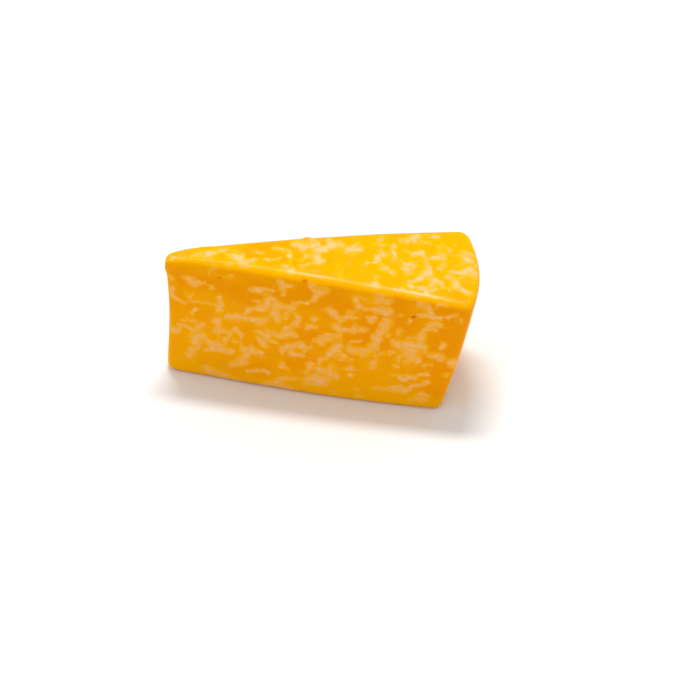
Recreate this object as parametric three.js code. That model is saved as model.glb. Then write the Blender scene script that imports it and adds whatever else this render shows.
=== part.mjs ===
// A long wedge of marbled block cheese, cut from a wheel: one solid, in millimetres, +Z up.
// It rests on its flat underside with the thin end towards -X and the skin side towards +X.
// The plan is a rounded trapezoid. It is raised to the full height, its edges are turned over,
// and small warps then give it the arch, bellies and undercut of a cheese that was cut by wire.
import * as THREE from "three";
import { ParametricGeometry } from "three/addons/geometries/ParametricGeometry.js";
import { mergeGeometries, mergeVertices } from "three/addons/utils/BufferGeometryUtils.js";

// Driving dimensions of the wedge.
const length = 163.4; // from the thin end to the middle of the skin side, along the top
const height = 78.3; // at the thin end
const thinEndWidth = 7.2; // across the blunt thin end, before its corners are rounded
const wedgeAngle = THREE.MathUtils.degToRad(19.3); // between the two cut faces

// Rounded corners in plan, and the turned edges above and below.
const thinCornerRadius = 2.4;
const frontCornerRadius = 3.3;
const backCornerRadius = 5.7;
const topEdgeRadius = 7.2;
const baseEdgeRadius = 5.4;
const edgeFullness = 3; // 2 turns the edges along circles, more keeps them tighter in the middle
const edgeShareOfWidth = 0.4; // an edge is never turned further than this share of the width there
const leastInnerRadius = 0.8; // corners inside a turned edge keep about this radius

// The skin side, which slopes in towards the base.
const undercut = 17.1; // how far the foot of the skin side stands back from its rim
const skinBelly = 1.2; // how far its middle height stands proud of that slope
const skinBow = 6; // how far its corners fall back from its middle, seen from above
const skinTurn = 1.8; // how far the front corner reaches past the middle and the back one falls short

// The cut faces and the top.
const frontBowTop = 1.4; // how far the front face bows out at half length, at the top
const backBowTop = 0.7;
const bowBase = 3.6; // the same for both faces at the base
const topArch = 2.7; // rise of the top at half length
const topFall = 6.2; // how much lower the top is at the skin side than at the thin end

// The thin end.
const noseFall = 3.5; // how far the top drops over the thin end
const noseReach = 23; // length over which it drops
const toeLift = 2.2; // how far the underside lifts under the thin end
const toeReach = 11;
const lipDepth = 0.9; // a lip that stands proud just under the top of the thin end
const lipShare = 0.93; // its height as a share of the whole
const lipSpread = 0.05;
const waistDepth = 1.2; // hollow of the thin end at half height

// How finely each stretch is divided.
const sideSteps = 32;
const endSteps = 12;
const crowding = 0.78; // how much closer together the steps are at the corners than on average
const riseSteps = 6;
const edgeSteps = 5;

const slope = Math.tan(wedgeAngle / 2);
const loopSteps = 2 * (sideSteps + endSteps);
const wallSteps = riseSteps + 2 * edgeSteps;

function halfWidth(x) {
  return thinEndWidth / 2 + slope * x;
}

// A point at a distance from a sharp corner, moved onto an arc that rounds the corner.
// inward and along are its new distances from the side it was on and from the other side.
function turnCorner(distance, radius) {
  if (distance >= radius) return { inward: 0, along: distance };
  const reach = Math.hypot(radius, radius - distance);
  const inward = radius * (1 - radius / reach);
  return { inward, along: radius * (1 - (radius - distance) / reach) };
}

// Corner radius of the outline once it has moved inwards.
function innerRadius(radius, inset) {
  return Math.hypot(Math.max(radius - inset, 0), leastInnerRadius);
}

// Share of a side's length for a share of its steps, which crowd together at both ends.
function spread(share) {
  return share - (crowding * Math.sin(2 * Math.PI * share)) / (2 * Math.PI);
}

// A long side of the trapezoid, from the thin end to the skin side: across is -1 in front, 1 behind.
function longSide(share, across, inset) {
  const span = length - 2 * inset;
  const station = span * spread(share);
  const farRadius = across < 0 ? frontCornerRadius : backCornerRadius;
  const near = turnCorner(station, innerRadius(thinCornerRadius, inset));
  const far = turnCorner(span - station, innerRadius(farRadius, inset));
  const isNear = station < span / 2;
  const x = inset + (isNear ? near.along : span - far.along);
  const inward = isNear ? near.inward : far.inward;
  return [x, across * (halfWidth(x) - inset - inward)];
}

// An end of the trapezoid, from front to back: the skin side or the thin end.
function shortSide(share, isSkin, inset) {
  const endX = isSkin ? length - inset : inset;
  const width = 2 * (halfWidth(endX) - inset);
  const station = width * spread(share);
  const isFront = station < width / 2;
  const distance = isFront ? station : width - station;
  const skinRadius = isFront ? frontCornerRadius : backCornerRadius;
  const radius = innerRadius(isSkin ? skinRadius : thinCornerRadius, inset);
  const { inward, along } = turnCorner(distance, radius);
  const x = isSkin ? endX - inward : endX + inward;
  // Inside a corner the point keeps its distance from the cut face, elsewhere its place on the end.
  const y = inward > 0 ? halfWidth(x) - inset - along : width / 2 - along;
  return [x, isFront ? -y : y];
}

// The closed outline moved inwards, once round anticlockwise from the front corner of the thin end.
function outlineAt(share, inset) {
  const step = share * loopSteps;
  if (step < sideSteps) return longSide(step / sideSteps, -1, inset);
  const afterFront = step - sideSteps;
  if (afterFront < endSteps) return shortSide(afterFront / endSteps, true, inset);
  const afterSkin = afterFront - endSteps;
  if (afterSkin < sideSteps) return longSide(1 - afterSkin / sideSteps, 1, inset);
  return shortSide(1 - (afterSkin - sideSteps) / endSteps, false, inset);
}

// The radius of a turned edge, held down smoothly where the wedge is thin.
function edgeRadiusAt(x, fullRadius) {
  const most = 2 * edgeShareOfWidth * halfWidth(x);
  return (fullRadius ** -4 + most ** -4) ** -0.25;
}

// A drop that is whole at the thin end and gone, with no kink, after a reach.
function fadeFromThinEnd(x, reach) {
  return Math.max(0, 1 - x / reach) ** 3;
}

// Warps a point of the raised trapezoid into the real wedge.
function warp(point) {
  const level = point.z / height;
  const share = point.x / length;
  const across = point.y / halfWidth(point.x);
  const hump = 4 * share * (1 - share);
  const upright = 4 * level * (1 - level);

  const lip = lipDepth * Math.exp(-(((level - lipShare) / lipSpread) ** 2));
  const thinEnd = (waistDepth * upright ** 2 - lip) * (1 - share) ** 6;
  const skinShape = skinBow * across * across + skinTurn * across;
  const skin = skinBelly * upright - undercut * (1 - level) - skinShape * share;

  const back = (1 + across) / 2;
  const bowTop = THREE.MathUtils.lerp(frontBowTop, backBowTop, back);
  const bow = across * hump * THREE.MathUtils.lerp(bowBase, bowTop, level);

  const nose = noseFall * fadeFromThinEnd(point.x, noseReach);
  const toe = toeLift * fadeFromThinEnd(point.x, toeReach) * (1 - level);
  const rise = (topArch * hump - topFall * share - nose) * level;
  return point.set(point.x + thinEnd + skin * share, point.y + bow, point.z + rise + toe);
}

// A turned edge, from the cut face (turn 1) to the level one (turn 0).
// Its inset and lift are shares of its radius.
function turnedEdge(turn) {
  const angle = (Math.PI / 2) * turn;
  const power = 2 / edgeFullness;
  return [1 - Math.sin(angle) ** power, 1 - Math.max(Math.cos(angle), 0) ** power];
}

// The raised trapezoid's wall, from the underside's rim (row 0) to the top's rim (row 1).
function raisedPoint(share, row, target) {
  const [outerX] = outlineAt(share, 0);
  const baseRadius = edgeRadiusAt(outerX, baseEdgeRadius);
  const topRadius = edgeRadiusAt(outerX, topEdgeRadius);
  const step = row * wallSteps;
  let inset = 0;
  let z;
  if (step < edgeSteps) {
    const [inwards, lift] = turnedEdge(step / edgeSteps);
    inset = baseRadius * inwards;
    z = baseRadius * lift;
  } else if (step > edgeSteps + riseSteps) {
    const [inwards, drop] = turnedEdge((wallSteps - step) / edgeSteps);
    inset = topRadius * inwards;
    z = height - topRadius * drop;
  } else {
    z = THREE.MathUtils.lerp(baseRadius, height - topRadius, (step - edgeSteps) / riseSteps);
  }
  const [x, y] = outlineAt(share, inset);
  return target.set(x, y, z);
}

function wallPoint(share, row, target) {
  return warp(raisedPoint(share, row, target));
}

// Inside a rim: a level patch that blends the rim's four sides, share along and part across.
function capPoint(share, part, row, target) {
  const rim = (steps) => raisedPoint(steps / loopSteps, row, new THREE.Vector3());
  const skinStart = sideSteps;
  const backStart = sideSteps + endSteps;
  const front = rim(share * sideSteps);
  const back = rim(backStart + (1 - share) * sideSteps);
  const thin = rim(loopSteps - part * endSteps);
  const skin = rim(skinStart + part * endSteps);
  const along = spread(share);
  const across = spread(part);
  const nearCorners = rim(0).lerp(rim(backStart + sideSteps), across);
  const farCorners = rim(skinStart).lerp(rim(backStart), across);
  target.copy(front).lerp(back, across);
  target.add(thin.lerp(skin, along));
  target.sub(nearCorners.lerp(farCorners, along));
  target.z = front.z;
  return warp(target);
}

function closedBody(...surfaces) {
  for (const surface of surfaces) {
    surface.deleteAttribute("normal");
    surface.deleteAttribute("uv");
  }
  const body = mergeVertices(mergeGeometries(surfaces), 1e-4);
  body.computeVertexNormals();
  return body;
}

// Moves the geometry so that the middle of its box stands over the origin and its foot at zero.
function standOnOrigin(geometry) {
  geometry.computeBoundingBox();
  const middle = geometry.boundingBox.getCenter(new THREE.Vector3());
  return geometry.translate(-middle.x, -middle.y, -geometry.boundingBox.min.z);
}

function cheeseWedge() {
  const wall = new ParametricGeometry(wallPoint, loopSteps, wallSteps);
  const topCap = (u, v, target) => capPoint(u, v, 1, target);
  const baseCap = (u, v, target) => capPoint(v, u, 0, target);
  const top = new ParametricGeometry(topCap, sideSteps, endSteps);
  const base = new ParametricGeometry(baseCap, endSteps, sideSteps);
  const curd = new THREE.MeshStandardMaterial({ color: 0xf0a41e, roughness: 0.42, metalness: 0 });
  const mesh = new THREE.Mesh(standOnOrigin(closedBody(wall, top, base)), curd);
  mesh.name = "cheese_wedge";
  return mesh;
}

const part = new THREE.Group();
part.add(cheeseWedge());

export default part;
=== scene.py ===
import math

import bpy
import numpy as np
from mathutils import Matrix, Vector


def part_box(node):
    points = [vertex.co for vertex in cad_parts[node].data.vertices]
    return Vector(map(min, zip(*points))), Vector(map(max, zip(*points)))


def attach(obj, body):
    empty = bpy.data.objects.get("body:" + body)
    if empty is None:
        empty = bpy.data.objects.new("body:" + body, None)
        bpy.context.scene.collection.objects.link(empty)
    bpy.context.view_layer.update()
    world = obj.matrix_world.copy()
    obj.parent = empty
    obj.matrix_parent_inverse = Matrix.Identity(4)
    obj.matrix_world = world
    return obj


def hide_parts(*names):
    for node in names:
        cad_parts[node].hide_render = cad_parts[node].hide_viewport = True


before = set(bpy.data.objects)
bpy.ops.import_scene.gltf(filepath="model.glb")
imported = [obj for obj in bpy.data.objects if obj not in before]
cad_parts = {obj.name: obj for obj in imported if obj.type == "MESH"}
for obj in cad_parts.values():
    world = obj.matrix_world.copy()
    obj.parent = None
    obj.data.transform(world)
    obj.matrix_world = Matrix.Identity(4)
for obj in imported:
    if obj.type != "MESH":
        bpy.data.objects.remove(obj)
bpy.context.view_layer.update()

# A long wedge of marbled cheese: a fine skin over the wedge's solid, on a pale floor in soft light.
# Sizes are in millimetres until a mesh is made, x from the thin end to the skin side, z up.
mm = 0.001


# The wedge's form, in millimetres apart from shares and the angle.
wedge = {
    "length": 163.4,              # along the top, thin end to the middle of the skin side
    "height": 78.3,               # at the thin end
    "thinEndWidth": 7.2,          # across the blunt thin end, before its corners are rounded
    "wedgeAngle": 19.3,           # degrees between the cut faces
    "thinCornerRadius": 2.4,      # corners in plan
    "frontCornerRadius": 3.3,
    "backCornerRadius": 5.7,
    "topEdgeRadius": 7.2,         # turned edges above and below
    "baseEdgeRadius": 5.4,
    "edgeFullness": 3.0,          # 2 turns the edges along circles, more keeps them tighter in the middle
    "edgeShareOfWidth": 0.4,      # an edge is never turned further than this share of the width there
    "leastInnerRadius": 0.8,      # corners inside a turned edge keep about this radius
    "undercut": 17.1,             # the skin side's foot stands this far back from its rim
    "skinBelly": 1.2,             # its middle height stands this far proud of that slope
    "skinBow": 6.0,               # its corners fall back this far from its middle, seen from above
    "skinTurn": 1.8,              # its front corner reaches this much further, the back one this much less
    "frontBowTop": 1.4,           # bow of the cut faces at half length, at the top
    "backBowTop": 0.7,
    "bowBase": 3.6,               # the same for both faces at the base
    "topArch": 2.7,               # rise of the top at half length
    "topFall": 6.2,               # how much lower the top is at the skin side than at the thin end
    "noseFall": 3.5,              # how far the top drops over the thin end
    "noseReach": 23.0,            # length over which it drops
    "toeLift": 2.2,               # how far the underside lifts under the thin end
    "toeReach": 11.0,
    "lipDepth": 0.9,              # a lip stands proud just under the top of the thin end
    "lipShare": 0.93,             # its height as a share of the whole
    "lipSpread": 0.05,
    "waistDepth": 1.2,            # hollow of the thin end at half height
    "endFade": 6,                 # power by which the lip and the waist fade along the length
    "sideSteps": 224,             # how finely the plan's sides and ends are divided
    "endSteps": 72,
    "riseSteps": 84,              # and the wall, up and round its edges
    "edgeSteps": 9,
    "crowding": 0.6,              # how much closer together the steps are at the corners
}

slope = math.tan(math.radians(wedge["wedgeAngle"] / 2))
loopSteps = 2 * (wedge["sideSteps"] + wedge["endSteps"])
wallSteps = wedge["riseSteps"] + 2 * wedge["edgeSteps"]


# Half the wedge's width at a place along it: half the thin end plus the slope times x.
def halfWidth(x):
    return wedge["thinEndWidth"] / 2 + slope * x


# A point at a distance s from a sharp corner goes onto an arc of radius r about (r, r):
# its way from the arc's centre, (r, r - s), is shortened to r. Beyond r nothing changes.
def turnCorner(distance, radius):
    short = np.maximum(radius - distance, 0.0)
    reach = np.hypot(radius, short)
    along = np.where(short > 0, radius * (1 - short / reach), distance)
    return radius * (1 - radius / reach), along


# Corner radius r once the outline has moved inwards by d: hypot(max(r - d, 0), least).
def innerRadius(radius, inset):
    return np.hypot(np.maximum(radius - inset, 0), wedge["leastInnerRadius"])


# Shares that crowd together at both ends: s - c sin(2 pi s) / (2 pi).
def spread(share):
    return share - wedge["crowding"] * np.sin(2 * np.pi * share) / (2 * np.pi)


# Long side of the plan moved inwards: x runs from the thin end, y = half width less the corner's arc.
def longSide(share, across, inset):
    span = wedge["length"] - 2 * inset
    station = span * spread(share)
    farRadius = wedge["frontCornerRadius"] if across < 0 else wedge["backCornerRadius"]
    nearInward, nearAlong = turnCorner(station, innerRadius(wedge["thinCornerRadius"], inset))
    farInward, farAlong = turnCorner(span - station, innerRadius(farRadius, inset))
    isNear = station < span / 2
    x = inset + np.where(isNear, nearAlong, span - farAlong)
    inward = np.where(isNear, nearInward, farInward)
    return np.stack([x, across * (halfWidth(x) - inset - inward)])


# Short side of the plan moved inwards, front to back: x = its end less the arc, y across the width.
def shortSide(share, isSkin, inset):
    endX = wedge["length"] - inset if isSkin else inset
    width = 2 * (halfWidth(endX) - inset)
    station = width * spread(share)
    isFront = station < width / 2
    distance = np.where(isFront, station, width - station)
    skinRadius = np.where(isFront, wedge["frontCornerRadius"], wedge["backCornerRadius"])
    radius = innerRadius(skinRadius if isSkin else wedge["thinCornerRadius"], inset)
    inward, along = turnCorner(distance, radius)
    x = endX - inward if isSkin else endX + inward
    y = np.where(inward > 0, halfWidth(x) - inset - along, width / 2 - along)
    return np.stack([x, np.where(isFront, -y, y)])


# The closed outline once round, anticlockwise from the thin end's front corner, for rows of insets.
def planLoop(inset):
    side, end = wedge["sideSteps"], wedge["endSteps"]
    along, part = np.arange(side) / side, np.arange(end) / end
    front, skin, back, thin = np.split(inset, [side, side + end, 2 * side + end], axis=-1)
    return np.concatenate([
        longSide(along, -1, front),
        shortSide(part, True, skin),
        longSide(1 - along, 1, back),
        shortSide(1 - part, False, thin),
    ], axis=-1)


# Edge radius r held under a share m of the width: (r^-4 + m^-4)^(-1/4).
def edgeRadiusAt(x, fullRadius):
    most = 2 * wedge["edgeShareOfWidth"] * halfWidth(x)
    return (fullRadius ** -4 + most ** -4) ** -0.25


# A drop that is whole at the thin end and gone after a reach, with no kink: (1 - x / reach)^3.
def fadeFromThinEnd(x, reach):
    return np.maximum(0, 1 - x / reach) ** 3


# Warps the raised trapezoid: x moves by the lip, waist and undercut, y by the bow of the cut faces,
# z by the arch, the fall to the skin side, the nose and the toe. A hump is 4 s (1 - s), one midway.
def warp(x, y, z):
    w = wedge
    level = z / w["height"]
    share = x / w["length"]
    across = y / halfWidth(x)
    hump = 4 * share * (1 - share)
    upright = 4 * level * (1 - level)
    lip = w["lipDepth"] * np.exp(-(((level - w["lipShare"]) / w["lipSpread"]) ** 2))
    thinEnd = (w["waistDepth"] * upright ** 2 - lip) * (1 - share) ** w["endFade"]
    skinShape = w["skinBow"] * across * across + w["skinTurn"] * across
    skin = w["skinBelly"] * upright - w["undercut"] * (1 - level) - skinShape * share
    bowTop = w["frontBowTop"] + (w["backBowTop"] - w["frontBowTop"]) * (1 + across) / 2
    bow = across * hump * (w["bowBase"] + (bowTop - w["bowBase"]) * level)
    nose = w["noseFall"] * fadeFromThinEnd(x, w["noseReach"])
    toe = w["toeLift"] * fadeFromThinEnd(x, w["toeReach"]) * (1 - level)
    rise = (w["topArch"] * hump - w["topFall"] * share - nose) * level
    return np.stack([x + thinEnd + skin * share, y + bow, z + rise + toe], axis=-1)


# The raised trapezoid's wall as rows of the outline: full quarter turns r(1 - sin(a)^(2/n)) and
# r(1 - cos(a)^(2/n)) at the base and the top, straight in between.
def raisedRows():
    outerX, _ = planLoop(np.zeros(loopSteps))
    baseRadius = edgeRadiusAt(outerX, wedge["baseEdgeRadius"])
    topRadius = edgeRadiusAt(outerX, wedge["topEdgeRadius"])
    step = np.arange(wallSteps + 1)[:, None]
    edge, rise = wedge["edgeSteps"], wedge["riseSteps"]
    low = np.pi / 2 * np.clip(step / edge, 0, 1)
    high = np.pi / 2 * np.clip((wallSteps - step) / edge, 0, 1)
    middle = np.clip((step - edge) / rise, 0, 1)
    power = 2 / wedge["edgeFullness"]
    x, y = planLoop(baseRadius * (1 - np.sin(low) ** power) + topRadius * (1 - np.sin(high) ** power))
    straight = baseRadius + (wedge["height"] - topRadius - baseRadius) * middle
    lowLift, highLift = (np.maximum(np.cos(angle), 0) ** power for angle in (low, high))
    z = straight - baseRadius * lowLift + topRadius * highLift
    return np.stack([x, y, z], axis=-1)


# A level patch inside a rim: the blend front to back, plus the blend end to end, less the corners' own.
def capPatch(rim):
    side, end = wedge["sideSteps"], wedge["endSteps"]
    front = rim[: side + 1]
    skin = rim[side : side + end + 1]
    back = rim[side + end : 2 * side + end + 1][::-1]
    thin = np.concatenate([rim[2 * side + end :], rim[:1]])[::-1]
    s = spread(np.arange(side + 1) / side)[:, None, None]
    t = spread(np.arange(end + 1) / end)[None, :, None]
    lengthwise = (1 - t) * front[:, None] + t * back[:, None]
    crosswise = (1 - s) * thin[None] + s * skin[None]
    nearCorners = (1 - t) * front[0] + t * back[0]
    farCorners = (1 - t) * front[-1] + t * back[-1]
    return lengthwise + crosswise - (1 - s) * nearCorners - s * farCorners


# Numbers the patch's grid: its border takes the rim's own points, its inside new ones.
def capNumbers(rimStart, firstNew):
    side, end = wedge["sideSteps"], wedge["endSteps"]
    numbers = np.empty((side + 1, end + 1), dtype=np.int64)
    numbers[:, 0] = rimStart + np.arange(side + 1)
    numbers[-1, :] = rimStart + side + np.arange(end + 1)
    numbers[:, -1] = rimStart + side + end + side - np.arange(side + 1)
    numbers[0, :] = rimStart + (loopSteps - np.arange(end + 1)) % loopSteps
    inner = firstNew + np.arange((side - 1) * (end - 1))
    numbers[1:-1, 1:-1] = inner.reshape(side - 1, end - 1)
    return numbers


# The grid's faces, four corners each, taken round one way.
def quadsOf(numbers):
    a, b = numbers[:-1, :-1], numbers[1:, :-1]
    c, d = numbers[1:, 1:], numbers[:-1, 1:]
    return np.stack([a, b, c, d], axis=-1).reshape(-1, 4)


# The whole closed skin: the wall and the two caps. Points in millimetres, four-cornered faces.
def wedgeSkin():
    rows = raisedRows()
    base, top = capPatch(rows[0]), capPatch(rows[-1])
    points = np.concatenate([
        rows.reshape(-1, 3),
        base[1:-1, 1:-1].reshape(-1, 3),
        top[1:-1, 1:-1].reshape(-1, 3),
    ])
    wallCount = rows.shape[0] * loopSteps
    capCount = (wedge["sideSteps"] - 1) * (wedge["endSteps"] - 1)
    wallNumbers = np.arange(wallCount).reshape(-1, loopSteps)
    closedNumbers = np.concatenate([wallNumbers, wallNumbers[:, :1]], axis=1)
    wallQuads = quadsOf(closedNumbers.T)
    baseQuads = quadsOf(capNumbers(0, wallCount))[:, ::-1]
    topQuads = quadsOf(capNumbers(wallCount - loopSteps, wallCount + capCount))
    return warp(*points.T), np.concatenate([wallQuads, baseQuads, topQuads])


# Point normals: each face's cross product of its diagonals, added up at its corners, over the length.
def pointNormals(points, quads):
    corners = points[quads]
    faceNormal = np.cross(corners[:, 2] - corners[:, 0], corners[:, 3] - corners[:, 1])
    total = np.zeros_like(points)
    for corner in range(quads.shape[1]):
        np.add.at(total, quads[:, corner], faceNormal)
    return total / np.maximum(np.linalg.norm(total, axis=1, keepdims=True), 1e-12)


# How far a normal leans before it counts: start and width of each climb from 0 to 1.
facing = {
    "front": (0.62, 0.25),
    "top": (0.62, 0.2),
    "shown": (0.3, 0.3),          # either of the two
    "underShare": 0.5,            # how much a downward lean counts towards the front
    "sideways": (0.0, 0.2),       # over this a push inwards turns from upright to the normal
    "ridgeFront": (0.06, 0.12),   # gloss of the front edge, where it leans forwards but is nearly level
    "ridgeUp": (0.82, 0.1),
    # painted light of the ridge and the foot shows where the normal leans forwards over this
    "paintedLightFront": (0.0, 0.4),
    "paintedRimSkin": (0.0, 0.3),        # painted highlight of the skin side's turned rim, which leans that way and up
    "paintedRimUp": (0.0, 0.2),
}


# Climbs from 0 at the start to 1 after the width: (value - start) / width, held within 0 and 1.
def ramp(value, start, width):
    return np.clip((value - start) / width, 0, 1)


# Shares of a point that belong to the front face, to the top and to neither, from its normal.
# The edge under the front face goes with it, by a share of its downward lean.
def faceShares(normals):
    lean = -normals[:, 1] + facing["underShare"] * np.maximum(-normals[:, 2], 0)
    front = ramp(lean, *facing["front"])
    top = ramp(normals[:, 2], *facing["top"])
    hidden = 1 - ramp(np.maximum(lean, normals[:, 2]), *facing["shown"])
    return front, top, hidden


# Unevenness of the surface. Waves and marks go inwards only, so that the wedge keeps its size.
relief = {
    "seed": 41,
    "waves": 22,                  # how many
    "waveShortest": 13.0,         # mm
    "waveLongest": 60.0,
    "waveDepth": 0.24,            # mm
    "waveLimit": 1.6,             # waves are cut off at this many times their usual height
    "flatFoot": 5.0,              # mm above the floor where the unevenness ends
    "pull": 0.6,                  # share by which the mesh is drawn together round a small mark
    "pullReach": 3.0,             # mm
    # Holes and nicks of the front face: x, z of both ends, radius, depth.
    "frontMarks": [
        (-8.5, 76.0, -8.1, 76.0, 1.1, 0.6),
        (-53.3, 69.9, -51.7, 70.2, 0.8, 0.32),
        (47.4, 61.2, 48.3, 61.9, 0.8, 0.6),
        (49.4, 62.6, 51.6, 63.6, 0.45, 0.18),
        (-71.2, 49.2, -70.8, 49.4, 0.5, 0.2),
        (7.3, 44.8, 7.7, 44.8, 0.6, 0.25),
        (29.0, 61.9, 29.4, 62.0, 0.5, 0.2),
    ],
    # The same for the top face, in x and y, with a short crack last.
    "topMarks": [
        (-3.6, 1.2, -3.2, 1.8, 0.6, 0.25),
        (45.0, -6.9, 48.0, -6.2, 0.4, 0.3),
    ],
    # Crumbs of curd that stand up on the back edge: x, y of both ends, radius, height.
    "burrs": [
        (-9.5, 14.0, -7.0, 14.3, 1.1, 0.8),
        (-63.0, 4.6, -58.5, 5.2, 0.9, 0.4),
    ],
}


# Distance from points to strokes given by their ends: |p - a - t(b - a)|, t held within 0 and 1.
def strokeDistance(places, strokes):
    first, last = strokes[:, 0:2], strokes[:, 2:4]
    way = last - first
    gap = places[:, None, :] - first
    t = np.clip((gap * way).sum(axis=2) / (way ** 2).sum(axis=1), 0, 1)
    return np.linalg.norm(gap - t[..., None] * way, axis=2)


# Draws points of one face together round its marks: each step from a mark's middle m shrinks
# by the share p exp(-(d / reach)^2).
def drawTogether(points, share, marks, axes):
    drawn = points.copy()
    for mark in marks:
        middle = np.array([(mark[0] + mark[2]) / 2, (mark[1] + mark[3]) / 2])
        gap = drawn[:, axes] - middle
        near = np.exp(-(gap ** 2).sum(axis=1) / relief["pullReach"] ** 2)
        drawn[:, axes] -= gap * (relief["pull"] * near * share)[:, None]
    return drawn


# Depth of marks at points: the sum of depth exp(-(d / radius)^2).
def markDepth(places, marks):
    strokes = np.array(marks)
    distance = strokeDistance(places, strokes)
    return (strokes[:, 5] * np.exp(-((distance / strokes[:, 4]) ** 2))).sum(axis=1)


# Sum of sine waves in random directions, depth growing with wavelength, with a usual height of one.
def softWaves(points, seed, count, shortest, longest):
    rng = np.random.default_rng(seed)
    directions = rng.normal(size=(count, 3))
    directions /= np.linalg.norm(directions, axis=1, keepdims=True)
    wavelengths = shortest * (longest / shortest) ** rng.random(count)
    phases = rng.random(count) * 2 * np.pi
    depths = wavelengths / wavelengths.sum()
    angles = points @ (directions * (2 * np.pi / wavelengths)[:, None]).T + phases
    return np.sin(angles) @ depths / np.sqrt((depths ** 2).sum() / 2)


# Moves the skin inwards by waves and marks and outwards by the burrs, along its normals. The waves,
# cut off at their limit, run from 0 to their depth and end at the foot. The normals are stood upright
# on the level faces, so that their finest cells don't fold. Also gives the marks' depth.
def roughen(points, normals, front, top):
    waves = softWaves(points, relief["seed"], relief["waves"], relief["waveShortest"], relief["waveLongest"])
    limit = relief["waveLimit"]
    depth = relief["waveDepth"] * (1.0 + np.clip(waves, -limit, limit) / limit) / 2
    depth *= ramp(points[:, 2], 0.0, relief["flatFoot"]) ** 2
    marks = front * markDepth(points[:, [0, 2]], relief["frontMarks"])
    marks += top * markDepth(points[:, [0, 1]], relief["topMarks"])
    burrs = top * markDepth(points[:, [0, 1]], relief["burrs"])
    sideways = np.linalg.norm(normals[:, :2], axis=1, keepdims=True)
    pushes = normals.copy()
    pushes[:, :2] *= ramp(sideways, *facing["sideways"]) ** 2
    return points - pushes * (depth + marks - burrs)[:, None], marks


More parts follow.
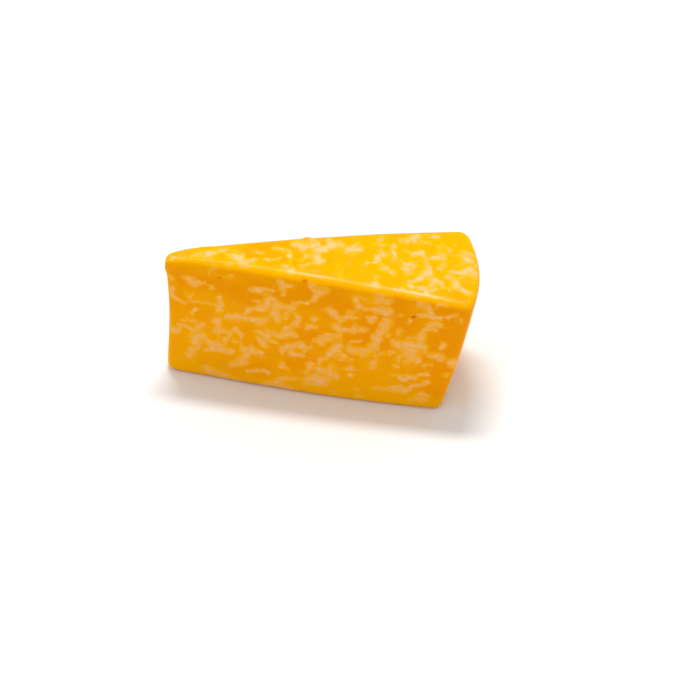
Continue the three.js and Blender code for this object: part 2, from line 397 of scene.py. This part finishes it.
# The main cream patches that show: strokes from end to end, with a radius, in millimetres.
patches = {
    "front": [                    # x, z, x, z, radius
        (-70, 66.5, -66.5, 64, 2.4), (-66, 65, -60, 65.5, 1.1), (-57.5, 61.5, -57.5, 63, 1.6),
        (-78.5, 52, -78, 57, 1.4), (-79, 52, -71, 48.5, 1.4), (-53, 57, -52, 53, 1.3),
        (-52.5, 52, -53.5, 47, 1.7), (-64.5, 45.5, -67.5, 42, 1.2), (-48, 45, -41, 45, 2.1),
        (-41, 44.5, -34, 45, 1.7), (-34, 45.5, -29.5, 46.5, 2.3), (-54, 40, -53.5, 35, 2.4),
        (-54, 34, -50, 35, 1.5), (-47, 34, -44.5, 36.5, 1.2), (-44.5, 36.5, -42, 33, 1.3),
        (-47, 33, -51, 27, 1.3), (-61.5, 36.5, -65, 33, 1.3), (-73, 32, -67, 30.5, 1.4),
        (-78, 28, -76, 28.5, 2), (-66, 25, -62.5, 28, 2.9), (-66, 22, -68.5, 13.5, 1.9),
        (-62, 25, -56, 24, 1.8), (-56, 23.5, -51.5, 21.5, 2.4), (-51, 20.5, -47, 20.5, 1.1),
        (-40, 19, -40, 22, 2.3), (-40, 24.5, -36, 25, 2.4), (-36, 24, -31.5, 23.5, 1.6),
        (-42, 15, -46.5, 13, 2.3), (-39, 10, -33.5, 12, 1.3), (-33, 12, -28, 11, 1.3),
        (-60, 5.5, -50, 3, 2.2), (-50, 2.5, -44, 1.5, 1.8), (-30, 2.5, -17, 3, 1.9),
        (-29, 55, -27, 60, 2.8), (-38, 51, -31, 54, 1.5),
        (-41, 48.5, -37, 51, 1), (-34.5, 66, -31, 65.5, 1.9), (-31, 66, -26, 67, 1),
        (-29, 36, -27, 37.5, 2.9), (-34, 37.5, -30, 37, 1.2), (-32, 33, -29.5, 29, 1.3),
        (-22, 73, -21, 69.5, 1.8), (-21, 72.5, -16.5, 72, 1.5), (-20, 67.5, -19, 65, 1.1),
        (-4, 73.5, -1, 70.5, 2.3), (-1, 71, 3, 72.5, 2), (-1.5, 68.5, -4.5, 63, 1.4),
        (-13.5, 62, -7, 61.5, 1.2), (-23, 57.5, -15, 57, 2.2), (-23.5, 55, -24, 51, 2),
        (-11.5, 53.5, -12, 48, 1.3), (-12.5, 47, -18, 42.5, 1.6), (-22.5, 50, -22.5, 47, 1.2),
        (-18, 52, -19, 50, 1.1), (-19, 39.5, -14.5, 39.5, 1.9), (-25, 38, -20, 37, 1.2),
        (-4.5, 52, -2.5, 52, 1.7), (-7.5, 47, -2, 47, 1.3), (-17.5, 32, -10, 33, 2.1),
        (-19, 30, -20.5, 26, 1.1), (-15.5, 28, -11, 26.5, 1.5), (3, 59.5, 5, 57.5, 1.9),
        (6, 56.5, 11, 54, 1.4), (14, 57, 16.5, 56, 1.5), (18, 68.5, 19, 63, 1.7),
        (20, 63, 29, 63, 1.3), (8, 49.5, 9.5, 46.5, 1.9), (12, 47, 16, 48, 1.3),
        (17, 49, 22, 49, 1.9), (25.5, 57.5, 27, 57, 1.7), (-0.5, 37.5, 4.5, 41.5, 2.3),
        (6, 42.5, 9, 43, 1.4), (8.5, 36.5, 6.5, 32, 2.6), (10.5, 32.5, 11.5, 29.5, 2),
        (4, 30, -0.5, 25.5, 1.8), (16, 35.5, 22.5, 34.5, 2.1), (23, 35.5, 27.5, 38.5, 2.4),
        (27.5, 40, 29, 45, 2.3), (30, 46, 31, 51, 1.6), (27.5, 28.5, 26, 25.5, 1.6),
        (12, 21.5, 16, 23.5, 1.3), (15, 16.5, 16, 18, 1.3), (-5, 22, -7.5, 15.5, 1.5),
        (-1.5, 19, 4, 18, 2.4), (4.5, 18, 5.5, 22.5, 1.7), (5, 17, 8.5, 15.5, 1.4),
        (-7, 10, -3.5, 12, 2.6), (-1, 9.5, 2.5, 12, 2), (-20.5, 16.5, -20, 20, 1.3),
        (-24.5, 5.5, -21, 8.5, 2), (-20, 9.5, -14, 9.5, 1.3), (-28, 3.5, -26, 4.5, 1.4),
        (29, 70, 34, 69.5, 2.8), (31, 72, 32, 73, 1.4), (29, 63, 36.5, 63.5, 1.4),
        (33.5, 55, 35.5, 58, 2.3), (30.5, 53, 33, 55, 1.4), (33.5, 50, 35, 48, 1.5),
        (44.5, 43, 50, 44.5, 3.4), (46, 40, 49, 34, 3.1), (38, 43, 43, 42.5, 1.9),
        (52, 47.5, 52, 50, 1.8), (53, 44, 53.5, 40, 1.5), (52.5, 51, 57, 57, 1.6),
        (57.5, 58, 60.5, 59, 2.1), (52, 70, 55, 67, 2.1), (55, 66, 57.5, 63, 1.7),
        (57, 63, 61.5, 62.5, 1.4), (50, 63.3, 56, 63, 0.9),
        (65, 63.5, 70, 66.5, 1.1), (59, 38, 62, 36.5, 2.6),
        (62, 43, 63.5, 46.5, 1.1), (68, 35.5, 69.5, 32, 2), (52, 24.5, 55, 24.5, 1.5),
        (41, 19.5, 49.5, 22, 1.3), (36.5, 10, 43, 12, 1.6), (43, 12, 53, 18, 1.6),
        (53, 18, 56, 19.5, 1.6), (37.5, 13, 40.5, 14.5, 1.4), (40, 28.5, 38, 27.5, 1.2),
    ],
    "frontFaint": [               # patches that only just show
        (-57.5, 73.5, -55, 76, 1.5), (-50, 71.5, -45, 73.5, 1.2), (-69.5, 52.5, -68, 56, 1.3),
        (-73, 36.5, -65, 37, 1.2), (-66, 51.6, -62, 51.2, 1.4),
        (-58.5, 51.6, -55, 50.4, 1.3), (-45, 28, -42, 28.5, 1.1),
        (-54, 31, -54, 28.5, 1), (-60, 19, -57, 20, 1.1), (-66.5, 9.5, -65, 9.5, 1),
        (-36, 58, -32.5, 58.5, 0.9), (-26, 33, -22, 33, 1.1), (-78.5, 64, -78.5, 66, 1.5),
        (-22, 16, -17, 15.5, 1.1), (20.5, 69, 24.5, 68.5, 0.8), (14, 60, 15.5, 60, 1),
        (16, 41, 20, 42, 1.1), (10, 53, 14, 56, 0.9), (15.5, 28.5, 16.5, 28, 1.2),
        (40.5, 61.5, 42, 62, 1.2), (45.5, 57, 46.5, 58, 1.1), (40, 49, 41.5, 53, 1.5),
        (42, 37, 40, 32, 1.7), (33, 36, 38, 37, 1.2), (29, 34, 31, 34.5, 1.2),
        (53.5, 30, 57, 31.5, 1), (60, 70, 64.5, 70.5, 1.2), (72, 61, 72.5, 63, 1.2),
        (48, 7, 53, 9, 2.6), (27, 10.5, 35, 12.5, 1.2), (37, 20.5, 40, 21.5, 1.2),
        (17, 8, 19, 8.5, 0.9), (5, 4, 7, 4, 1.2), (19, 4, 21, 4, 1.4), (63, 25, 65, 25, 1.4),
        (-8, 31, -5, 33, 0.9), (45, 31, 46, 33, 1.3), (56.5, 54.5, 59, 55, 1.2),
    ],
    "top": [                      # x, y, x, y, radius
        (-60, -1.5, -57, 0.5, 2.1), (-57, 1, -51.5, 4, 2), (-49, -1, -43, -2.5, 1.5),
        (-43, -3, -40, -5.5, 1.8), (-39.5, -7, -35.5, -5.5, 2.3), (-48, -7, -46.5, -7, 1),
        (-28.5, -3.5, -23, -2.5, 1.1), (-28.5, -4, -27, -5, 1.2), (-24, 5.5, -20, 3.5, 1.7),
        (-20, 3.5, -17, 3, 1.3), (-17, 2, -16.5, -5, 0.9), (-20, -8.5, -16.5, -9, 1.3),
        (-17.5, -11.5, -15.5, -12, 1.7), (-22, -11, -21.5, -11.5, 1.1), (-11, 9, -8.5, 8, 2.3),
        (-10, 6, -10, 4.5, 1.1), (-16, 9.5, -14, 10, 1.3), (-5.5, 12, -4, 9, 1.5),
        (-2.5, 4, 0.5, 6, 2.5), (0.5, 6.5, 8, 10.5, 2.2), (-2.5, 1, -2, -3.5, 2.2),
        (4.5, 13, 5.5, 9, 1.5), (-4.5, 0, -8, 1, 1.1), (-8.5, 0, -10.5, -3, 1),
        (-5, -5, -10, -9, 1.3), (14.5, 6.5, 17.5, 8, 2.3), (18, 9.5, 18.5, 12.5, 1.4),
        (8.5, -13, 10.5, -15, 1.3), (28, 3, 28, -2, 1.5), (25, -20, 28.5, -20.5, 1.3),
        (30.5, 18.5, 30, 16.5, 1.3), (30, 12, 31, 12, 1.2), (30, 7, 33, 3.5, 1.3),
        (37, 12, 36.5, 10, 1.2), (37, 6, 37, 3, 1.1), (32, -4, 32, -7, 1.6),
        (34.5, -8.5, 37.5, -8.5, 1.6), (42, 17.5, 46, 19, 2), (46, 19.5, 49.5, 20.5, 1.6),
        (47, 18, 47, 15.5, 1.2), (50, 20, 54, 17, 0.9), (46.5, 6.5, 51, 7.5, 1.6),
        (52, 5, 55, -3, 0.9), (43, -1.5, 46.5, -2.5, 2.8), (43, -6, 46, -7.5, 1.6),
        (55, -3, 55, -6.5, 1.4), (53.5, -8, 50, -12, 2.4), (49, -13, 46, -15, 1.4),
        (45.5, -16, 46.5, -18, 1.3), (48, -19, 55, -19.5, 1.4), (54, -12, 57.5, -13, 1.4),
        (58, -17.5, 60, -13, 1.8), (42, -18.5, 43, -19.5, 1.3), (42, -22.5, 49, -23.5, 1.2),
        (55, -22, 57, -20.5, 1.7), (62.5, -17.5, 61.5, -14, 1.3), (58.5, 5, 61, 5.5, 2.2),
        (62, 8.5, 59.5, 14, 1.2), (62, 3, 62, -3, 1.2), (62, 17, 65, 11, 1.1),
        (57, 21, 58.5, 20, 1), (71, 11, 78, 10.5, 1.3), (73, 8, 74.5, 4, 2.5),
        (67, -4, 78, -5, 1.4), (78, -1.5, 78, -6, 1.8), (73.5, -3, 76, -1, 1.1),
        (66, -9, 69, -12, 1.9), (69, -13, 71, -17, 1.8), (71.5, -17.5, 73.5, -19.5, 1.6),
        (74, -20, 79, -19.5, 1.1), (66, -15.5, 66.5, -18.5, 1), (27, -18, 29, -16.5, 1.4),
    ],
    "topFaint": [                 # the same on the top
        (-79, -1, -72, -1.5, 0.9), (-67, 1, -63, 0, 1.5), (-68, -2.5, -61, -3, 1.1),
        (-47, 2, -44, 1.5, 1.1), (-33.5, 0.5, -32, 0.5, 0.9), (7, 6, 8.5, 4.5, 1.1),
        (8, -8, 8, -5, 0.9), (26, 13, 29, 12, 1.2), (23, -2, 24, -3, 0.9),
        (65.5, 3.5, 67, 3, 1.1), (68, 17, 68.5, 15, 0.8), (50, 13, 50, 9.5, 0.8),
        (38, -20.5, 41, -21.5, 1), (53, 21, 54.5, 21, 0.9), (27, -11.5, 28, -13.5, 1),
        (70.5, 0, 72, 0.5, 0.9), (59, -25, 66, -26.5, 0.8), (43, 9.5, 46, 8, 0.8),
        (78, 6, 79, 1, 1.1), (70, -10, 73, -8, 0.8),
    ],
    "paintedShade": [                     # painted shade: deeper orange along the upper front face and down the skin end
        (-72, 66, -38, 64, 6), (-25, 65, 12, 64, 6.5), (38, 64, 46, 57, 6),
        (63, 60, 58, 14, 12), (20, 45, 28, 62, 4), (58, 12, 62, 20, 6),
    ],
    "ridgePaintedLight": [                     # painted light: brighter and yellower just below the ridge
        (-77, 75.2, -70, 76.8, 1.8), (-70, 76.8, -41, 77.5, 1.8), (-41, 77.5, 0, 76.6, 1.9),
        (0, 76.6, 36, 74.8, 1.9), (36, 74.8, 74, 71.5, 1.9),
    ],
    "footPaintedLight": [                 # painted light, the same along the foot
        (-78, 5, -20, 3, 6), (-20, 3, 72, 3, 6),
    ],
    "faintStrength": 0.55,        # the others have 1
    "footPaintedLightStrength": 0.9,          # of the painted light along the foot
    "frontBreadth": 0.94,         # a stroke reaches this many times its radius
    "topBreadth": 1.02,
    "leastTopRadius": 1.4,        # mm, thinner strokes of the top are drawn this wide but fainter
    "wiggle": 0.6,                # mm, how far the strokes wander
    "wiggleShortest": 3.5,        # mm
    "wiggleLongest": 11.0,
    "wiggleWaves": 26,
    "seed": 7,
}


# Level of points from strokes: 1 less the product of 1 - strength exp(-(d / (breadth radius))^2).
def strokeLevel(places, strokes, strength=1.0, breadth=1.0):
    strokes = np.array(strokes, dtype=float)
    distance = strokeDistance(places, strokes)
    missing = 1 - strength * np.exp(-((distance / (breadth * strokes[:, 4])) ** 2))
    return 1 - missing.prod(axis=1)


# Cream, and the painted shade that deepens the orange of the front face, at points whose places wander by
# soft waves. Each list of strokes leaves 1 less its level, and cream is 1 less the product of what the lists
# leave. Strokes of the top thinner than the least radius are drawn that wide, but weaker by the ratio of the
# two.
def creamLevel(points, front, top):
    shortest, longest = patches["wiggleShortest"], patches["wiggleLongest"]
    shifts = [
        softWaves(points, patches["seed"] + axis, patches["wiggleWaves"], shortest, longest)
        for axis in range(2)
    ]
    shift = patches["wiggle"] * np.stack(shifts, axis=-1)
    onFront, onTop = points[:, [0, 2]] + shift, points[:, [0, 1]] + shift
    faint, frontBreadth, topBreadth = (
        patches[key] for key in ("faintStrength", "frontBreadth", "topBreadth")
    )
    wide, least = np.array(patches["top"]), patches["leastTopRadius"]
    strength = np.minimum(wide[:, 4] / least, 1)
    wide[:, 4] = np.maximum(wide[:, 4], least)
    left = 1 - front * strokeLevel(onFront, patches["front"], 1.0, frontBreadth)
    left *= 1 - front * strokeLevel(onFront, patches["frontFaint"], faint, frontBreadth)
    left *= 1 - top * strokeLevel(onTop, wide, strength, topBreadth)
    left *= 1 - top * strokeLevel(onTop, patches["topFaint"], faint, topBreadth)
    return 1 - left, front * strokeLevel(onFront, patches["paintedShade"])


# Painted light: the higher of the ridge's and the foot's strokes where the normal leans to the front, and a
# painted highlight on the turned rim of the skin side, where it leans to the skin side and up at once.
def paintedLightLevel(points, normals):
    places = points[:, [0, 2]]
    ridge = strokeLevel(places, patches["ridgePaintedLight"])
    foot = strokeLevel(places, patches["footPaintedLight"], patches["footPaintedLightStrength"])
    onFront = ramp(-normals[:, 1], *facing["paintedLightFront"]) * np.maximum(ridge, foot)
    onRim = ramp(normals[:, 0], *facing["paintedRimSkin"]) * ramp(normals[:, 2], *facing["paintedRimUp"])
    return np.maximum(onFront, onRim)


# A shader socket that can be written in sums. Numbers use Math, vectors and colours Vector Math.
class Wire:
    def __init__(self, graph, socket):
        self.graph = graph
        self.socket = socket

    def combine(self, operation, left, right):
        wires = [value for value in (left, right) if isinstance(value, Wire)]
        if any(wire.socket.type in ("VECTOR", "RGBA") for wire in wires):
            if operation == "MULTIPLY" and isinstance(right, (int, float)):
                return self.graph.node("ShaderNodeVectorMath", {"operation": "SCALE"}, {0: left, 3: right})
            return self.graph.node("ShaderNodeVectorMath", {"operation": operation}, {0: left, 1: right})
        return self.graph.node("ShaderNodeMath", {"operation": operation}, {0: left, 1: right})

    def __add__(self, other):
        return self.combine("ADD", self, other)

    def __sub__(self, other):
        return self.combine("SUBTRACT", self, other)

    def __rsub__(self, other):
        return self.combine("SUBTRACT", other, self)

    def __mul__(self, other):
        return self.combine("MULTIPLY", self, other)

    __radd__ = __add__
    __rmul__ = __mul__


# A material's node tree. node() takes a type, its settings, its sockets' values or wires, and the
# output that it gives back as a wire. Sockets go by number, name or identifier.
class Graph:
    def __init__(self, name):
        self.material = bpy.data.materials.new(name)
        self.material.use_nodes = True
        self.tree = self.material.node_tree
        self.tree.nodes.clear()

    def find(self, sockets, key):
        if isinstance(key, int):
            return sockets[key]
        return next(s for s in sockets if s.enabled and key in (s.identifier, s.name))

    def node(self, kind, settings, sockets, output=0):
        made = self.tree.nodes.new(kind)
        for key, value in settings.items():
            setattr(made, key, value)
        for key, value in sockets.items():
            socket = self.find(made.inputs, key)
            if isinstance(value, Wire):
                self.tree.links.new(value.socket, socket)
            else:
                socket.default_value = value
        return Wire(self, self.find(made.outputs, output)) if made.outputs else None

    def mix(self, factor, first, second):
        settings = {"data_type": "RGBA", "blend_type": "MIX", "clamp_factor": True}
        sockets = {"Factor_Float": factor, "A_Color": first, "B_Color": second}
        return self.node("ShaderNodeMix", settings, sockets, "Result_Color")

    # Climbs smoothly from 0 at low to 1 at high.
    def step(self, value, low, high):
        settings = {"interpolation_type": "SMOOTHSTEP"}
        sockets = {"Value": value, "From Min": low, "From Max": high}
        return self.node("ShaderNodeMapRange", settings, sockets)

    # Noise round a half, with lobes of a size in millimetres. The grain is its detail and roughness.
    def noise(self, place, size, grain, output="Fac"):
        sockets = {"Vector": place, "Scale": 1 / (size * mm), "Detail": grain[0], "Roughness": grain[1]}
        return self.node("ShaderNodeTexNoise", {}, sockets, output)

    # A plain value stored on the mesh's points.
    def stored(self, name):
        return self.node("ShaderNodeAttribute", {"attribute_name": name}, {}, "Fac")

    def finish(self, surface):
        self.node("ShaderNodeOutputMaterial", {}, {"Surface": surface})
        return self.material


# Colour and finish of the marbled cheese. Sizes are in millimetres, and a grain is a noise's detail
# and roughness.
curd = {
    "orange": (0.95, 0.40, 0.0, 1),
    "deepOrange": (0.90, 0.315, 0.0, 1),
    "yellow": (1.0, 0.47, 0.0, 1),    # round the cream patches; along the ridge, the foot and the skin side's rim it is painted light
    "cream": (0.95, 0.45, 0.075, 1),
    "richCream": (0.94, 0.52, 0.20, 1),
    # painted shade inside the holes
    "holeShadeColour": (0.62, 0.16, 0.005, 1),
    "smoothGrain": (2.0, 0.5),    # for broad forms
    "fineGrain": (3.0, 0.6),      # for streaks and the surface
    "flatten": 1.45,              # the curds are pressed flat by this much
    "curdSize": 9.5,              # the usual width of a patch where no strokes are given
    "wanderSize": 5.0,            # how far apart the wiggles of such a patch's outline are
    "wanderReach": 2.6,           # and how far they push it
    "creamNoise": 0.56,           # noise level where cream begins there
    "noiseGain": 4.5,             # how steeply the level climbs round it
    "fraySize": 3.4,              # the frayed lobes round every patch
    "frayGrain": (2.8, 0.62),
    "topFraySize": 5.0,           # the same on the top
    "topFrayGrain": (2.0, 0.55),
    "fray": 2.5,                  # how strongly they eat into its border
    "plainFray": 1.5,             # and how strongly they show where there is no patch
    "edge": 0.47,                 # level where cream begins
    "softness": 0.42,             # half of the climb from none to all of it
    "richSpan": (0.85, 1.4),      # levels between which cream turns rich
    "richOnTopPaintedLight": 0.17,            # painted light: added to the level on the top, so that the front's cream stays less pale, as under warm bounced light
    "toneSize": 30.0,             # drift of the orange over the whole wedge
    "toneSpan": (0.3, 0.6),
    "paintedShadeDepth": 1.1,             # pull of the strokes of painted shade, which deepen the orange
    "toneShare": 0.8,             # how much of the drift shows
    "topPaintedLight": 0.25,             # painted light: how much lighter the orange is painted on the top
    "streakSize": 1.6,            # level streaks left by the cut
    "streakStretch": 0.12,        # they are this share as busy along as across
    "streakMiddle": 0.4,
    "streakShare": 0.6,           # how much of them shows, round their middle
    "haloReach": 0.4,             # level up to which orange turns yellow round a patch
    "haloShare": 0.6,
    "paintedLightShare": 0.65,
    "holeShadeSpan": (0.05, 0.5),      # depths between which a hole is painted darker, as painted shade
    "holeShadeShare": 0.85,
    "grainSize": 1.8,             # fine and broad unevenness of the surface
    "swellSize": 9.0,
    "grainHeight": 0.25,          # shares of the bump
    "swellHeight": 0.5,
    "streakHeight": 0.25,
    "bump": 0.10,
    "bumpDepth": 0.6,
    "roughness": 0.27,
    "roughnessSwing": 0.16,
    "lightThrough": 0.15,         # share of light that enters the cheese
    "throughRadius": (1.0, 0.5, 0.15),
    "throughSize": 2.0,
    "glareTint": (1.0, 0.72, 0.3, 1),
    "glareLevel": 0.25,
    "bend": 1.12,                 # index of refraction of the cheese, and of its glossy edge
    "coatBend": 1.45,
    "coatRoughness": 0.33,
    "coatBase": 0.12,             # gloss all along the turned front edge
    "coatBells": [                # and more of it at places: middle, reach, strength
        (-75.0, 8.0, 0.3), (-4.5, 9.5, 0.55), (27.0, 5.0, 0.3), (54.0, 12.0, 0.75),
    ],
}


# Gloss of the turned front edge: its share of the surface, from the normal, times a level along x
# that is a base plus bells strength exp(-((x - middle) / reach)^2).
def edgeGloss(points, normals):
    ridge = ramp(-normals[:, 1], *facing["ridgeFront"]) * ramp(normals[:, 2], *facing["ridgeUp"])
    bells = np.array(curd["coatBells"])
    gap = (points[:, :1] - bells[:, 0]) / bells[:, 1]
    return ridge * (curd["coatBase"] + np.exp(-(gap ** 2)) @ bells[:, 2])


# The marbled finish. The cream level is the strokes' level, plus free noise on the hidden sides, and a finer
# noise frays it, most on a patch's border, 4 s (1 - s). Cream shows where the level climbs past the edge.
# The orange drifts, is deepened by painted shade, is painted lighter on the top, streaks, and turns yellow
# round patches and where light is painted along the ridge, the foot and the skin side's rim. Holes are
# painted darker by their depth, as painted shade.
def marbledFinish():
    c = curd
    g = Graph("marbledCurd")
    place = g.node("ShaderNodeTexCoord", {}, {}, "Object")
    flat = g.node("ShaderNodeMapping", {}, {"Vector": place, "Scale": (1.0, 1.0, c["flatten"])})
    onTop = g.stored("topShare")

    wander = g.noise(flat, c["wanderSize"], c["smoothGrain"], "Color")
    pushed = flat + (wander - (0.5, 0.5, 0.5)) * (2 * c["wanderReach"] * mm)
    free = g.noise(pushed, c["curdSize"], c["smoothGrain"])
    freeLevel = (free - c["creamNoise"]) * c["noiseGain"] + c["edge"]
    hand = g.stored("creamLevel") + g.stored("hiddenShare") * freeLevel
    smooth = g.node("ShaderNodeClamp", {}, {"Value": hand})
    frontFray = g.noise(flat, c["fraySize"], c["frayGrain"])
    topFray = g.noise(place, c["topFraySize"], c["topFrayGrain"])
    fray = frontFray + (topFray - frontFray) * onTop
    border = smooth * (1 - smooth) * 4.0
    level = smooth + (fray - 0.5) * (border * c["fray"] + c["plainFray"])
    cream = g.step(level, c["edge"] - c["softness"], c["edge"] + c["softness"])
    # painted light: the top's cream is painted richer than the front's
    rich = g.step(level + onTop * c["richOnTopPaintedLight"], *c["richSpan"])

    drift = g.step(g.noise(place, c["toneSize"], c["smoothGrain"]), *c["toneSpan"])
    # painted shade: the strokes of painted shade deepen the orange
    tone = drift - g.stored("paintedShadeLevel") * c["paintedShadeDepth"]
    stretch = (c["streakStretch"], c["streakStretch"], 1.0)
    streaked = g.node("ShaderNodeMapping", {}, {"Vector": place, "Scale": stretch})
    streak = g.noise(streaked, c["streakSize"], c["fineGrain"])
    # painted light: the orange of the top is painted lighter than the front's
    light = tone * c["toneShare"] + onTop * c["topPaintedLight"] + (streak - c["streakMiddle"]) * c["streakShare"]
    body = g.mix(light, c["deepOrange"], c["orange"])
    halo = g.step(smooth, 0.0, c["haloReach"]) * c["haloShare"]
    # painted light: yellow along the ridge, the foot and the skin side's rim
    body = g.mix(halo + g.stored("paintedLightLevel") * c["paintedLightShare"], body, c["yellow"])
    colour = g.mix(cream, body, g.mix(rich, c["cream"], c["richCream"]))
    # painted shade: holes darken with their depth
    holeShading = g.step(g.stored("markDepth"), *c["holeShadeSpan"]) * c["holeShadeShare"]
    colour = g.mix(holeShading, colour, c["holeShadeColour"])

    grain = g.noise(place, c["grainSize"], c["fineGrain"])
    swell = g.noise(place, c["swellSize"], c["smoothGrain"])
    height = grain * c["grainHeight"] + swell * c["swellHeight"] + streak * c["streakHeight"]
    bumpSockets = {"Strength": c["bump"], "Distance": c["bumpDepth"] * mm, "Height": height}
    return g.finish(g.node("ShaderNodeBsdfPrincipled", {"subsurface_method": "RANDOM_WALK"}, {
        "Base Color": colour,
        "Roughness": c["roughness"] + (grain - 0.5) * c["roughnessSwing"],
        "Normal": g.node("ShaderNodeBump", {}, bumpSockets),
        "Subsurface Weight": c["lightThrough"],
        "Subsurface Radius": c["throughRadius"],
        "Subsurface Scale": c["throughSize"] * mm,
        "Specular Tint": c["glareTint"],
        "Specular IOR Level": c["glareLevel"],
        "IOR": c["bend"],
        "Coat Weight": g.stored("edgeGloss"),
        "Coat Roughness": c["coatRoughness"],
        "Coat IOR": c["coatBend"],
    }))


# A mesh object from points in millimetres and faces, shaded smooth.
def meshFrom(name, points, quads):
    mesh = bpy.data.meshes.new(name)
    mesh.vertices.add(len(points))
    mesh.vertices.foreach_set("co", (points * mm).astype(np.float32).ravel())
    mesh.loops.add(quads.size)
    mesh.loops.foreach_set("vertex_index", quads.astype(np.int32).ravel())
    mesh.polygons.add(len(quads))
    mesh.polygons.foreach_set("loop_start", np.arange(0, quads.size, quads.shape[1], dtype=np.int32))
    mesh.polygons.foreach_set("use_smooth", np.ones(len(quads), dtype=bool))
    mesh.update(calc_edges=True)
    mesh.validate()
    piece = bpy.data.objects.new(name, mesh)
    bpy.context.scene.collection.objects.link(piece)
    return piece


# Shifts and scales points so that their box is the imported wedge's own box.
def fitToFrame(points):
    low, high = points.min(axis=0), points.max(axis=0)
    cadLow, cadHigh = (np.array(corner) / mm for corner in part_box("cheese_wedge"))
    return cadLow + (points - low) / (high - low) * (cadHigh - cadLow)


# The wedge, and the values that its finish reads, one for each point.
def makeWedge():
    points, quads = wedgeSkin()
    points = fitToFrame(points)
    front, top, hidden = faceShares(pointNormals(points, quads))
    points = drawTogether(points, front, relief["frontMarks"], [0, 2])
    points = drawTogether(points, top, relief["topMarks"], [0, 1])
    normals = pointNormals(points, quads)
    values = {"hiddenShare": hidden, "topShare": top}
    values["creamLevel"], values["paintedShadeLevel"] = creamLevel(points, front, top)
    # painted light along the ridge, the foot and the skin side's rim
    values["paintedLightLevel"] = paintedLightLevel(points, normals)
    values["edgeGloss"] = edgeGloss(points, normals)
    points, values["markDepth"] = roughen(points, normals, front, top)
    piece = meshFrom("marbledWedge", points, quads)
    for name, numbers in values.items():
        attribute = piece.data.attributes.new(name, "FLOAT", "POINT")
        attribute.data.foreach_set("value", numbers.astype(np.float32))
    piece.data.materials.append(marbledFinish())
    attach(piece, "root")
    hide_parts("cheese_wedge")
    return piece


# The photo's view: nearly square on to the front cut face, from well above.
view = {
    "azimuth": 1.68,              # degrees
    "elevation": 42.3,
    "distance": 4188.0,           # mm
    "aim": (13.95, 14.55, 0.0),   # mm, the floor point in the middle of the picture
    "frameShare": 0.0875,         # frame width over distance
    "sensorWidth": 36.0,          # mm
    "farthest": 50.0,             # m
}


# Camera on a ray from its aim: (sin a cos e, -cos a cos e, sin e) times the distance, looking back.
def makeCamera():
    a, e = math.radians(view["azimuth"]), math.radians(view["elevation"])
    back = np.array([math.sin(a) * math.cos(e), -math.cos(a) * math.cos(e), math.sin(e)])
    data = bpy.data.cameras.new("photoCamera")
    camera = bpy.data.objects.new("photoCamera", data)
    bpy.context.scene.collection.objects.link(camera)
    camera.location = (np.array(view["aim"]) + back * view["distance"]) * mm
    camera.rotation_euler = (math.pi / 2 - e, 0, a)
    data.sensor_width = view["sensorWidth"]
    data.lens = view["sensorWidth"] / view["frameShare"]
    data.clip_end = view["farthest"]
    bpy.context.scene.camera = camera


# The pale floor, the sky and one soft lamp above and behind the wedge.
studio = {
    "floorSize": 12.0,            # m
    "floorTone": 0.86,
    "floorRoughness": 0.9,
    "skyStrength": 0.74,
    "lampSize": (0.5, 0.2),       # m
    "lampPower": 15.0,            # W
    "lampPlace": (-0.03, 0.43, 1.54),    # m
}


# A square floor, an even sky and the lamp, which leans by atan(y / z) and atan(x / z) to face the wedge.
def makeStudio():
    half = studio["floorSize"] / 2
    corners = [(-half, -half, 0), (half, -half, 0), (half, half, 0), (-half, half, 0)]
    mesh = bpy.data.meshes.new("paleFloor")
    mesh.from_pydata(corners, [], [(0, 1, 2, 3)])
    floor = bpy.data.objects.new("paleFloor", mesh)
    bpy.context.scene.collection.objects.link(floor)
    g = Graph("paleFloorFinish")
    tone = studio["floorTone"]
    sockets = {"Base Color": (tone, tone, tone, 1), "Roughness": studio["floorRoughness"]}
    mesh.materials.append(g.finish(g.node("ShaderNodeBsdfPrincipled", {}, sockets)))

    world = bpy.data.worlds.new("softSky")
    bpy.context.scene.world = world
    world.use_nodes = True
    sky = world.node_tree.nodes["Background"]
    sky.inputs["Color"].default_value = (1, 1, 1, 1)
    sky.inputs["Strength"].default_value = studio["skyStrength"]

    data = bpy.data.lights.new("softLamp", "AREA")
    data.shape = "RECTANGLE"
    data.size, data.size_y = studio["lampSize"]
    data.energy = studio["lampPower"]
    lamp = bpy.data.objects.new("softLamp", data)
    bpy.context.scene.collection.objects.link(lamp)
    lamp.location = studio["lampPlace"]
    x, y, z = studio["lampPlace"]
    lamp.rotation_euler = (-math.atan2(y, z), math.atan2(x, z), 0)
    bpy.context.scene.view_settings.view_transform = "Standard"


wedgePiece = makeWedge()
print("stage 2: wedge made,", len(wedgePiece.data.polygons), "faces")
makeCamera()
makeStudio()
print("stage 3: camera, floor and light placed")
